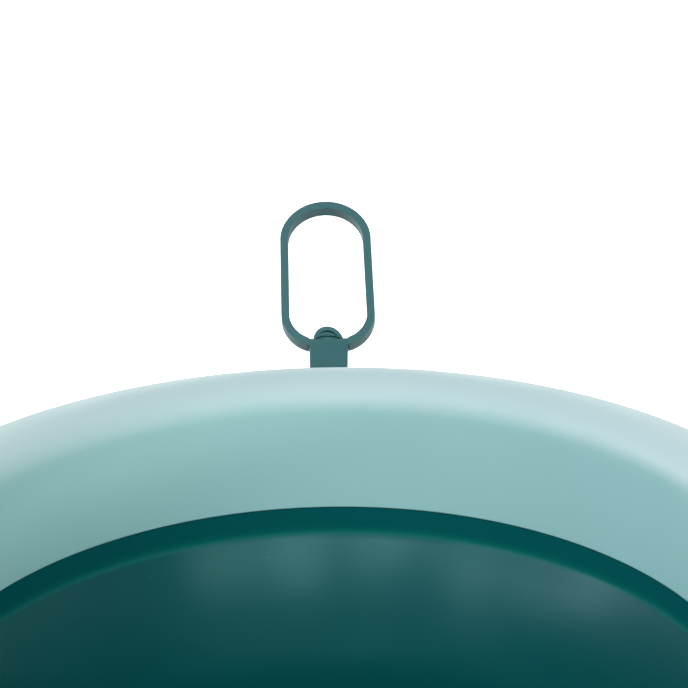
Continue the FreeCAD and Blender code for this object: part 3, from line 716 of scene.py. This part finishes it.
def turned(name, profile, centre, material, steps=96):
    # profile is (radius, height) from the axis at the bottom round to the axis at the top
    work = bmesh.new()
    rings = []
    for radius, height in profile:
        if radius < onAxis:
            rings.append([work.verts.new((centre[0], centre[1], height))])
            continue
        rings.append([work.verts.new((centre[0] + radius * math.cos(2 * math.pi * n / steps),
                                      centre[1] + radius * math.sin(2 * math.pi * n / steps), height))
                      for n in range(steps)])
    for lower, upper in zip(rings, rings[1:]):
        for n in range(steps):
            m = (n + 1) % steps
            if len(lower) == 1:
                work.faces.new((lower[0], upper[m], upper[n]))
            elif len(upper) == 1:
                work.faces.new((lower[n], lower[m], upper[0]))
            else:
                work.faces.new((lower[n], lower[m], upper[m], upper[n]))
    bmesh.ops.recalc_face_normals(work, faces=work.faces)
    mesh = bpy.data.meshes.new(name)
    work.to_mesh(mesh)
    work.free()
    mesh.polygons.foreach_set("use_smooth", [True] * len(mesh.polygons))
    return newPiece(name, mesh, material)


def openOutline(corners):
    # rounds the inner corners of an outline that starts and ends on the axis
    ends = [(0, corners[0][1]), (0, corners[-1][1])]
    inner = bevelled([(-0.001, corners[0][1], 0)] + [c for c in corners if c[0] > onAxis]
                     + [(-0.001, corners[-1][1], 0)])[1:-1]
    return [ends[0]] + [tuple(p) for p in inner] + [ends[1]]


footShape = {"round": 0.0012, "grooves": (0.42, 0.68), "grooveWide": 0.0016, "grooveDeep": 0.0011,
             "grooveSlope": 0.0002, "small": 0.0003, "waist": 0.0004, "shoulder": 0.001, "stem": 0.004,
             "head": 0.006}


def footProfile(radius, top, neck):
    # grooved underside, round edge, sides that draw in a little towards the top
    corners = [(0, 0, 0)]
    small, slope, deep = footShape["small"], footShape["grooveSlope"], footShape["grooveDeep"]
    for share in footShape["grooves"]:
        inner = radius * share
        outer = inner + footShape["grooveWide"]
        corners += [(inner, 0, small), (inner + slope, deep, small), (outer - slope, deep, small),
                    (outer, 0, small)]
    corners += [(radius, 0, footShape["round"]), (radius - footShape["waist"], top * 0.5, small),
                (radius - footShape["shoulder"], top, 0.0006)]
    return corners + neck


for corner in ("rear_right", "rear_left", "front_left", "front_right"):
    low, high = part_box("foot_pad_" + corner)
    middle = ((low.x + high.x) / 2, (low.y + high.y) / 2)
    neck = [(footShape["stem"], flangeLow, 0.0003), (footShape["stem"], flangeTop, 0.0002),
            (footShape["head"], flangeTop, 0.0004), (footShape["stem"], high.z, 0.0004), (0, high.z, 0)]
    outline = openOutline(footProfile((high.x - low.x) / 2, flangeLow, neck))
    settle(turned("foot_" + corner, outline, middle, footRubber), "base", "foot_rubber", "foot_pad_" + corner)
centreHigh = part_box("foot_pad_centre")[1]
top = centreHigh.z - 0.0001
outline = openOutline(footProfile(centreHigh.x, top, [(0, top, 0)]))
settle(turned("foot_centre", outline, (0, 0), footRubber, 128), "base", "foot_rubber", "foot_pad_centre")
print("feet made")

# drain

drainShape = {"bodyEdge": 0.0003, "nutEdge": 0.0005, "washerEdge": 0.0003, "plugEdge": 0.0004}
nutLow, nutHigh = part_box("drain_nut")
drainPlace = (0, (nutLow.y + nutHigh.y) / 2)
for name, node, finish, width, steps, body, slot in (
        ("drain_body", "drain_fitting", drainTeal, drainShape["bodyEdge"], 2, "base", "drain_plastic"),
        ("drain_lock_nut", "drain_nut", drainTeal, drainShape["nutEdge"], 3, "base", "drain_plastic"),
        ("drain_washer", "drain_gasket", blackRubber, drainShape["washerEdge"], 2, "base", "gasket_rubber"),
        ("drain_stopper", "drain_plug", footRubber, drainShape["plugEdge"], 3, "plug", "foot_rubber")):
    settle(softened(name, node, finish, width, steps), body, slot, node)
nodes["plug_pull_ring"].data.materials[0] = strapTeal
print("drain made")

# hanging strap and ring

# lengths in the strap's own frame: x across, y from front to back, z along it from its pin
hangerShape = {"lean": 45, "length": 0.034, "halfWidth": 0.00975, "front": -0.0038, "back": 0.0002,
               "edge": 0.0012, "backEdge": 0.0006, "foot": 0.0005, "knuckle": 0.005, "eye": 0.0038,
               "bore": 0.00205, "eyeBore": 0.00191, "top": 0.03585, "tongueHalf": 0.0076,
               "tongueFront": -0.0024, "tongueBack": 0.0034, "tongueFrom": 0.0355, "tongueLean": 0.13,
               "tongueGrow": 0.16, "slitRadius": 0.0055, "slitWide": 0.0009, "slitDeep": 0.0028,
               "hollowDeep": 0.0022, "narrow": 0.965, "wide": 1.02, "widensFrom": 0.014, "widensOver": 0.019}
pinLow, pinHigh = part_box("strap_pin")
hangerFrame = (Matrix.Translation((pinLow + pinHigh) / 2)
               @ Matrix.Rotation(-math.radians(hangerShape["lean"]), 4, "X"))
toHanger = hangerFrame.inverted()


def prism(outline, axis, first, last):
    # a closed outline in the plane across an axis of the strap's frame, pulled along that axis
    at = "xyz".index(axis)
    work = bmesh.new()
    rings = [[work.verts.new((*pair[:at], along, *pair[at:])) for pair in outline] for along in (first, last)]
    work.faces.new(rings[0])
    work.faces.new(rings[1][::-1])
    for n in range(len(outline)):
        m = (n + 1) % len(outline)
        work.faces.new((rings[0][m], rings[0][n], rings[1][n], rings[1][m]))
    bmesh.ops.recalc_face_normals(work, faces=work.faces)
    mesh = bpy.data.meshes.new("prism")
    work.to_mesh(mesh)
    work.free()
    return newPiece("prism", mesh, strapTeal)


def carve(piece, tool, operation="DIFFERENCE"):
    change = piece.modifiers.new("carve", "BOOLEAN")
    change.object, change.operation, change.solver = tool, operation, "EXACT"
    applyModifiers(piece)
    bpy.data.objects.remove(tool)


def circleOutline(height, radius, steps=48):
    return [(radius * math.cos(2 * math.pi * n / steps), height + radius * math.sin(2 * math.pi * n / steps))
            for n in range(steps)]


def crescent(middle, radius, first, last, thick, steps=16):
    # a thin curved slot that narrows at both ends
    outer, inner = [], []
    for n in range(steps + 1):
        angle = math.radians(first + (last - first) * n / steps)
        half = thick / 2 * max(0.12, math.sin(math.pi * n / steps)) ** 0.6
        for side, r in ((outer, radius + half), (inner, radius - half)):
            side.append((middle[0] + r * math.cos(angle), middle[1] + r * math.sin(angle)))
    return outer + inner[::-1]


def makeStrap():
    h = hangerShape
    wide, front, back, top = h["halfWidth"], h["front"], h["back"], h["top"]
    section = bevelled([(wide, front, h["edge"]), (wide, back, h["backEdge"]), (-wide, back, h["backEdge"]),
                        (-wide, front, h["edge"])], 6, 0.0002)
    strap = prism([tuple(p) for p in section], "z", h["foot"], top)
    strap.name = "hanging_strap"
    for height, radius in ((0, h["knuckle"]), (h["length"], h["eye"])):
        carve(strap, prism(circleOutline(height, radius), "x", -wide, wide), "UNION")
    # the domed tongue that comes round the ring's bar, with a slit and a hollow in its face
    half, base = h["tongueHalf"], h["tongueFrom"]
    dome = [(half * math.cos(math.pi * n / 28), base + half * math.sin(math.pi * n / 28)) for n in range(29)]
    carve(strap, prism([(half, base - 0.0015)] + dome + [(-half, base - 0.0015)], "y", h["tongueFront"],
                       h["tongueBack"]), "UNION")
    mouth = h["tongueFront"] - 0.001
    slit = crescent((-0.0002, base - 0.0003), h["slitRadius"], 30, 130, h["slitWide"])
    carve(strap, prism(slit, "y", mouth, mouth + h["slitDeep"]))
    hollow = [(-0.0064, -0.0004), (-0.006, 0.0016), (-0.003, 0.0026), (0.0032, 0.0025), (0.006, 0.0014),
              (0.0066, -0.0004)]
    carve(strap, prism([(x, top + z) for x, z in hollow], "y", mouth, mouth + h["hollowDeep"]))
    peak = [(-0.0052, -0.0005), (-0.005, 0), (-0.0026, 0.0002), (-0.0009, 0.0011), (0.0001, 0.0011),
            (0.0019, 0.0002), (0.0046, 0), (0.0048, -0.0005)]
    carve(strap, prism([(x, top + z) for x, z in peak], "y", front + 0.0003, h["tongueFront"] + 0.0005),
          "UNION")
    for height, radius in ((0, h["bore"]), (h["length"], h["eyeBore"])):
        carve(strap, prism(circleOutline(height, radius), "x", -wide * 1.2, wide * 1.2))
    for vertex in strap.data.vertices:
        x, y, z = vertex.co
        over = max(0.0, z - base - 0.0005)  # the tongue is pressed over to one side
        share = max(0.0, min(1.0, (z - h["widensFrom"]) / h["widensOver"]))
        x = x * (h["narrow"] + (h["wide"] - h["narrow"]) * share) - over * h["tongueLean"]
        vertex.co = hangerFrame @ Vector((x, y, z + over * h["tongueGrow"]))
    strap.data.update()
    strap.data.name = strap.name
    return strap


ringShape = {"half": 0.022, "corner": 0.017, "top": 0.0605, "thicker": 0.0004, "sway": 0.0011,
             "bow": 0.00035, "from": 0.008, "over": 0.06, "edge": 0.00025}


def ringSways(point):
    # a soft ring isn't quite straight: its top stands to one side, and its bars bow
    local = toHanger @ point
    side, height = (1 if local.x > 0 else -1), local.z - hangerShape["length"]
    across = abs(local.x)
    level = min(ringShape["top"], max(ringShape["corner"], height))
    turn = ringShape["half"] if height > ringShape["corner"] else ringShape["corner"]
    middle = Vector((ringShape["half"] - turn, level))
    spoke = Vector((across, height)) - middle
    besideStrap = height > ringShape["corner"] or across > hangerShape["halfWidth"] + 0.0001
    if besideStrap and spoke.length < turn:
        across, height = middle + spoke * (1 - ringShape["thicker"] / spoke.length)
    share = max(0.0, min(1.0, (height - ringShape["from"]) / ringShape["over"]))
    across += ringShape["bow"] * math.sin(math.pi * 2 * share)
    local.x = side * across - ringShape["sway"] * share * share * (3 - 2 * share)
    local.z = height + hangerShape["length"]
    return hangerFrame @ local


bracketShape = {"edge": 0.0005, "pinEdge": 0.0005}
settle(softened("strap_bracket", "hanger_anchor", strapTeal, bracketShape["edge"], 3), "rim", "ring_plastic",
       "hanger_anchor")
settle(softened("hinge_pin", "strap_pin", zincSteel, bracketShape["pinEdge"], 3), "rim", "steel", "strap_pin")
settle(makeStrap(), "strap", "strap_rubber", "hang_strap")
settle(softened("hanging_ring", "hang_ring", strapTeal, ringShape["edge"], bend=ringSways), "ring",
       "ring_plastic", "hang_ring")
print("hanger made")

# grip dots between the floor's treads

def dotTree():
    tree, put = newGeometryTree("gripDots", {
        "Half width": "Float", "Half length": "Float", "Pitch": "Float", "Columns": "Int", "Rows": "Int",
        "Dot radius": "Float", "Floor height": "Float", "Drain": "Vector", "Drain radius": "Float",
        "Material": "Material"})
    across = times(tree, put["Pitch"], maths(tree, "SUBTRACT", put["Columns"], 1.0))
    along = times(tree, put["Pitch"], maths(tree, "SUBTRACT", put["Rows"], 1.0))
    grid = addNode(tree, "GeometryNodeMeshGrid", {
        "Size X": across, "Size Y": along, "Vertices X": put["Columns"], "Vertices Y": put["Rows"]})
    lift = addNode(tree, "ShaderNodeCombineXYZ", {"Z": put["Floor height"]})
    raised = moved(tree, grid.outputs[0], lift.outputs[0])
    spot = addNode(tree, "GeometryNodeInputPosition").outputs[0]
    parts = addNode(tree, "ShaderNodeSeparateXYZ", {0: spot})
    ovalShare = maths(
        tree, "ADD", maths(tree, "POWER", maths(tree, "DIVIDE", parts.outputs[0], put["Half width"]), 2.0),
        maths(tree, "POWER", maths(tree, "DIVIDE", parts.outputs[1], put["Half length"]), 2.0))
    outside = maths(tree, "GREATER_THAN", ovalShare, 1.0)
    fromDrain = addNode(tree, "ShaderNodeVectorMath", {0: spot, 1: put["Drain"]}, operation="DISTANCE")
    nearDrain = maths(tree, "LESS_THAN", fromDrain.outputs["Value"], put["Drain radius"])
    kept = addNode(tree, "GeometryNodeDeleteGeometry", {
        "Geometry": raised.outputs[0], "Selection": maths(tree, "MAXIMUM", outside, nearDrain)})
    ball = addNode(tree, "GeometryNodeMeshUVSphere", {
        "Segments": 12, "Rings": 6, "Radius": put["Dot radius"]})
    flat = addNode(tree, "GeometryNodeTransform", {"Geometry": ball.outputs[0], "Scale": (1, 1, 0.4)})
    smooth = addNode(tree, "GeometryNodeSetShadeSmooth", {"Geometry": flat.outputs[0]})
    dots = addNode(tree, "GeometryNodeInstanceOnPoints", {
        "Points": kept.outputs[0], "Instance": smooth.outputs[0]})
    closeGeometryTree(tree, dots.outputs[0], put["Material"])
    return tree


dotSizes = {"pitch": 0.0125, "radius": 0.0013, "columns": 21, "rows": 31, "edge": 0.074, "drainClear": 0.034}
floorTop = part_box("drain_fitting")[1].z - 0.002
gripDots = runTree("grip_dots", dotTree(), {
    "Half width": ovalHalfWidth - dotSizes["edge"], "Half length": ovalHalfLength - dotSizes["edge"],
    "Pitch": dotSizes["pitch"], "Columns": dotSizes["columns"], "Rows": dotSizes["rows"],
    "Dot radius": dotSizes["radius"], "Floor height": floorTop, "Drain": (*drainPlace, floorTop),
    "Drain radius": dotSizes["drainClear"], "Material": floorTeal})
settle(gripDots, "base", "tray_plastic")
print("grip dots made")

# studio: floor, light and camera

def pickRays(tree):
    rays = addNode(tree, "ShaderNodeLightPath")
    seen = maths(tree, "MAXIMUM", rays.outputs["Is Camera Ray"], rays.outputs["Is Glossy Ray"])
    return maths(tree, "MAXIMUM", seen, rays.outputs["Is Transmission Ray"])


stageShape = {"reach": 14, "floorGrey": 0.72, "floorLift": 0.72, "below": 0.0002}
mesh = bpy.data.meshes.new("floor")
reach = stageShape["reach"]
level = -stageShape["below"]
mesh.from_pydata([(-reach, -reach, level), (reach, -reach, level), (reach, reach, level),
                  (-reach, reach, level)], [], [(0, 1, 2, 3)])
floorPaint = bpy.data.materials.new("studioFloor")
floorPaint.use_nodes = True
tree = floorPaint.node_tree
tree.nodes.clear()
seen = pickRays(tree)
plain = addNode(tree, "ShaderNodeBsdfDiffuse", {"Color": blendColour(
    tree, seen, (stageShape["floorGrey"],) * 3, (1, 1, 1))})
lift = addNode(tree, "ShaderNodeEmission", {
    "Color": (1, 1, 1, 1), "Strength": times(tree, seen, stageShape["floorLift"])})
both = addNode(tree, "ShaderNodeAddShader", {0: plain.outputs[0], 1: lift.outputs[0]})
addNode(tree, "ShaderNodeOutputMaterial", {0: both.outputs[0]})
newPiece("studio_floor", mesh, floorPaint)

world = bpy.data.worlds.new("studio")
bpy.context.scene.world = world
world.use_nodes = True
tree = world.node_tree
tree.nodes.clear()
skyLight = {"strength": 0.32, "colour": (0.97, 0.985, 1.0)}
seen = pickRays(tree)
colour = blendColour(tree, seen, skyLight["colour"], (1, 1, 1))
strength = between(tree, seen, 0, 1, skyLight["strength"], 1.0)
addNode(tree, "ShaderNodeOutputWorld", {0: addNode(tree, "ShaderNodeBackground", {
    "Color": colour, "Strength": strength}).outputs[0]})


def addLamp(name, place, aim, size, power, colour=(1, 1, 1), lean=0, glossy=True):
    lamp = bpy.data.lights.new(name, "AREA")
    lamp.shape = "RECTANGLE"
    lamp.size, lamp.size_y = size
    lamp.energy = power
    lamp.color = colour
    holder = addObject(name, lamp)
    holder.location = place
    facing = (Vector(aim) - Vector(place)).to_track_quat("-Z", "Y").to_matrix()
    holder.rotation_euler = (facing @ Matrix.Rotation(math.radians(lean), 3, "Z")).to_euler()
    holder.visible_camera = False
    holder.visible_glossy = glossy


cool, neutral, warm = (0.95, 0.985, 1.04), (1, 1, 1), (0.97, 1.03, 0.96)
# a row of soft lamps round the front and left, lower towards the back
lampRow = {"distance": 2.2, "size": (1.9, 0.26), "aim": (0, 0.05, 0.1)}
for number, (turn, height, lean, power, tint) in enumerate((
        (36, 45, -10, 18, warm), (-6, 50, 0, 16, neutral), (-46, 45, 12, 14, neutral),
        (-86, 31, 18, 12.5, cool), (-126, 16, 20, 16, cool))):
    turn, height = math.radians(turn), math.radians(height)
    level = math.cos(height)
    outwards = Vector((level * math.sin(turn), -level * math.cos(turn), math.sin(height)))
    place = Vector(lampRow["aim"]) + outwards * lampRow["distance"]
    addLamp("row{}".format(number), place, lampRow["aim"], lampRow["size"], power, tint, lean)
addLamp("fill", (-0.8, -2.0, 0.85), (0, 0.1, 0.15), (1.3, 0.4), 10.5, glossy=False)
addLamp("right", (2.2, -0.8, 0.52), (0, 0.05, 0.15), (1.2, 0.24), 17, warm)
addLamp("back", (0.3, 2.2, 1.0), (0, 0, 0.15), (1.6, 0.8), 9)

shot = {"place": (0.0164, -1.4259, 0.7099), "down": 16.18, "turn": -0.279, "roll": 0.94, "lens": 185.5}
camera = bpy.data.cameras.new("camera")
camera.lens = shot["lens"]
camera.sensor_width = 36
camera.clip_end = 60
cameraHolder = addObject("camera", camera)
down, turn, roll = (math.radians(shot[key]) for key in ("down", "turn", "roll"))
ahead = Vector((math.sin(turn) * math.cos(down), math.cos(turn) * math.cos(down), -math.sin(down)))
right = ahead.cross(Vector((0, 0, 1))).normalized()
above = right.cross(ahead)
leaning = above * math.cos(roll) + right * math.sin(roll)
sideways = right * math.cos(roll) - above * math.sin(roll)
cameraHolder.matrix_world = Matrix.Translation(shot["place"]) @ Matrix(
    (sideways, leaning, -ahead)).transposed().to_4x4()
bpy.context.scene.camera = cameraHolder
bpy.context.scene.view_settings.view_transform = "Standard"
print("stage made")
